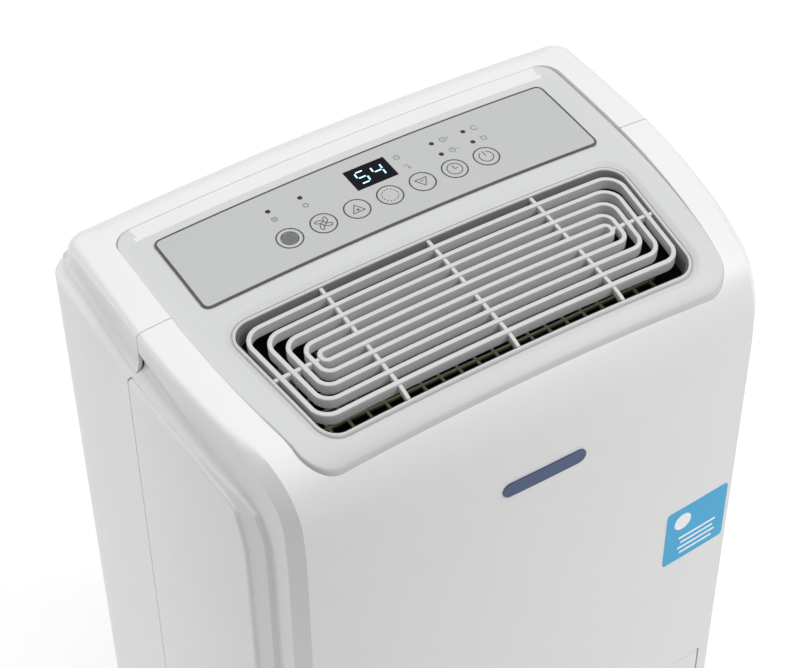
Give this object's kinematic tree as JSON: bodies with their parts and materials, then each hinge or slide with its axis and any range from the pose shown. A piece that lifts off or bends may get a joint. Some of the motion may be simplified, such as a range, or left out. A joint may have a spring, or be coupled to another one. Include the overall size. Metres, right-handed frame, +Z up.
{
  "type": "dehumidifier",
  "caption": "Portable room dehumidifier on casters with a top air outlet grille, a keypad with a digit display and a pull-out water bucket.",
  "frame": {"origin": "on the floor, under the middle of the box that the whole machine fills", "axes": "+X to the right of the machine seen from its front, the front faces -Y, +Z up"},
  "size_m": [0.39, 0.2709, 0.612],
  "materials": {
    "cover_white": "smooth satin-gloss moulding",
    "panel_grey": "fine satin texture",
    "membrane_grey": "printed satin film",
    "window_black": "smoked gloss",
    "led_dark": "unlit lens",
    "circuit_green": "solder mask",
    "black_part": "moulded",
    "guard_olive": "moulded",
    "badge_blue": "printed",
    "label_cyan": "printed film",
    "tank_clear": "translucent",
    "window_clear": "clear polycarbonate",
    "handle_grey": "moulded",
    "float_cream": "foamed",
    "plunger_red": "moulded",
    "filter_grey": "moulded",
    "mesh_dark": "fine net",
    "coil_fins": "thin fins",
    "copper_pipe": "drawn tube",
    "tray_black": "moulded",
    "hose_clear": "soft tube",
    "compressor_black": "stove enamel",
    "rubber_black": "moulded",
    "housing_grey": "moulded",
    "wheel_black": "moulded",
    "zinc_steel": "zinc plated",
    "capacitor_can": "drawn can",
    "caster_tyre": "hard nylon"
  },
  "bodies": {
    "cabinet": {"front_shell": "cover_white", "rear_shell": "cover_white", "base_pan": "panel_grey", "chassis_frame": "panel_grey", "top_panel": "panel_grey", "control_membrane": "membrane_grey", "display_window": "window_black", "indicator_leds": "led_dark", "display_board": "circuit_green", "board_components": "black_part", "outlet_grille": "panel_grey", "outlet_guard": "guard_olive", "badge": "badge_blue", "front_label": "label_cyan", "bucket_switch": "black_part", "intake_grille": "cover_white", "evaporator": "coil_fins", "condenser": "coil_fins", "refrigerant_pipes": "copper_pipe", "drip_tray": "tray_black", "drain_hose": "hose_clear", "drain_spigot": "black_part", "compressor": "compressor_black", "compressor_mounts": "rubber_black", "blower_housing": "housing_grey", "fan_motor": "zinc_steel", "control_box": "housing_grey", "run_capacitor": "capacitor_can", "cord_gland": "rubber_black", "shell_screws": "zinc_steel"},
    "filter_key": {"filter_key": "membrane_grey"},
    "fan_key": {"fan_key": "membrane_grey"},
    "up_key": {"up_key": "membrane_grey"},
    "mode_key": {"mode_key": "membrane_grey"},
    "down_key": {"down_key": "membrane_grey"},
    "timer_key": {"timer_key": "membrane_grey"},
    "power_key": {"power_key": "membrane_grey"},
    "bucket": {"bucket_front": "cover_white", "bucket_tank": "tank_clear", "bucket_lid": "panel_grey", "level_window": "window_clear"},
    "bucket_handle": {"bucket_handle": "handle_grey"},
    "bucket_float": {"bucket_float": "float_cream"},
    "switch_plunger": {"switch_plunger": "plunger_red"},
    "air_filter": {"filter_frame": "filter_grey", "filter_mesh": "mesh_dark"},
    "blower": {"blower_wheel": "wheel_black", "fan_shaft": "zinc_steel"},
    "caster_fl": {"caster_fork_fl": "black_part", "caster_axle_fl": "zinc_steel"},
    "wheel_fl": {"caster_wheel_fl": "caster_tyre"},
    "caster_fr": {"caster_fork_fr": "black_part", "caster_axle_fr": "zinc_steel"},
    "wheel_fr": {"caster_wheel_fr": "caster_tyre"},
    "caster_rl": {"caster_fork_rl": "black_part", "caster_axle_rl": "zinc_steel"},
    "wheel_rl": {"caster_wheel_rl": "caster_tyre"},
    "caster_rr": {"caster_fork_rr": "black_part", "caster_axle_rr": "zinc_steel"},
    "wheel_rr": {"caster_wheel_rr": "caster_tyre"}
  },
  "joints": [
    {"name": "filter_key_press", "type": "slide", "parent": "cabinet", "child": "filter_key", "axis": [0, 0.064, -0.9979], "range_m": [0, 0.0005], "stiffness_N_per_m": 900},
    {"name": "fan_key_press", "type": "slide", "parent": "cabinet", "child": "fan_key", "axis": [0, 0.064, -0.9979], "range_m": [0, 0.0005], "stiffness_N_per_m": 900},
    {"name": "up_key_press", "type": "slide", "parent": "cabinet", "child": "up_key", "axis": [0, 0.064, -0.9979], "range_m": [0, 0.0005], "stiffness_N_per_m": 900},
    {"name": "mode_key_press", "type": "slide", "parent": "cabinet", "child": "mode_key", "axis": [0, 0.064, -0.9979], "range_m": [0, 0.0005], "stiffness_N_per_m": 900},
    {"name": "down_key_press", "type": "slide", "parent": "cabinet", "child": "down_key", "axis": [0, 0.064, -0.9979], "range_m": [0, 0.0005], "stiffness_N_per_m": 900},
    {"name": "timer_key_press", "type": "slide", "parent": "cabinet", "child": "timer_key", "axis": [0, 0.064, -0.9979], "range_m": [0, 0.0005], "stiffness_N_per_m": 900},
    {"name": "power_key_press", "type": "slide", "parent": "cabinet", "child": "power_key", "axis": [0, 0.064, -0.9979], "range_m": [0, 0.0005], "stiffness_N_per_m": 900},
    {"name": "bucket_slide", "type": "slide", "parent": "cabinet", "child": "bucket", "axis": [0, -1, 0], "range_m": [0, 0.2]},
    {"name": "bucket_handle_swing", "type": "hinge", "parent": "bucket", "child": "bucket_handle", "pos_m": [0, -0.0649, 0.206], "axis": [1, 0, 0], "range_deg": [0, 90]},
    {"name": "bucket_float_swing", "type": "hinge", "parent": "bucket", "child": "bucket_float", "pos_m": [-0.092, -0.0889, 0.2215], "axis": [1, 0, 0], "range_deg": [0, 20]},
    {"name": "switch_plunger_press", "type": "slide", "parent": "cabinet", "child": "switch_plunger", "axis": [0, 1, 0], "range_m": [0, 0.002], "stiffness_N_per_m": 300},
    {"name": "air_filter_lift", "type": "slide", "parent": "cabinet", "child": "air_filter", "axis": [0, 0, 1], "range_m": [0, 0.3]},
    {"name": "blower_spin", "type": "hinge", "parent": "cabinet", "child": "blower", "pos_m": [0, -0.04, 0.3447], "axis": [0, 1, 0], "continuous": true},
    {"name": "caster_swivel_fl", "type": "hinge", "parent": "cabinet", "child": "caster_fl", "pos_m": [-0.143, -0.083, 0.04], "axis": [0, 0, 1], "continuous": true},
    {"name": "caster_roll_fl", "type": "hinge", "parent": "caster_fl", "child": "wheel_fl", "pos_m": [-0.143, -0.074, 0.014], "axis": [1, 0, 0], "continuous": true},
    {"name": "caster_swivel_fr", "type": "hinge", "parent": "cabinet", "child": "caster_fr", "pos_m": [0.143, -0.083, 0.04], "axis": [0, 0, 1], "continuous": true},
    {"name": "caster_roll_fr", "type": "hinge", "parent": "caster_fr", "child": "wheel_fr", "pos_m": [0.143, -0.074, 0.014], "axis": [1, 0, 0], "continuous": true},
    {"name": "caster_swivel_rl", "type": "hinge", "parent": "cabinet", "child": "caster_rl", "pos_m": [-0.143, 0.073, 0.04], "axis": [0, 0, 1], "continuous": true},
    {"name": "caster_roll_rl", "type": "hinge", "parent": "caster_rl", "child": "wheel_rl", "pos_m": [-0.143, 0.082, 0.014], "axis": [1, 0, 0], "continuous": true},
    {"name": "caster_swivel_rr", "type": "hinge", "parent": "cabinet", "child": "caster_rr", "pos_m": [0.143, 0.073, 0.04], "axis": [0, 0, 1], "continuous": true},
    {"name": "caster_roll_rr", "type": "hinge", "parent": "caster_rr", "child": "wheel_rr", "pos_m": [0.143, 0.082, 0.014], "axis": [1, 0, 0], "continuous": true}
  ]
}
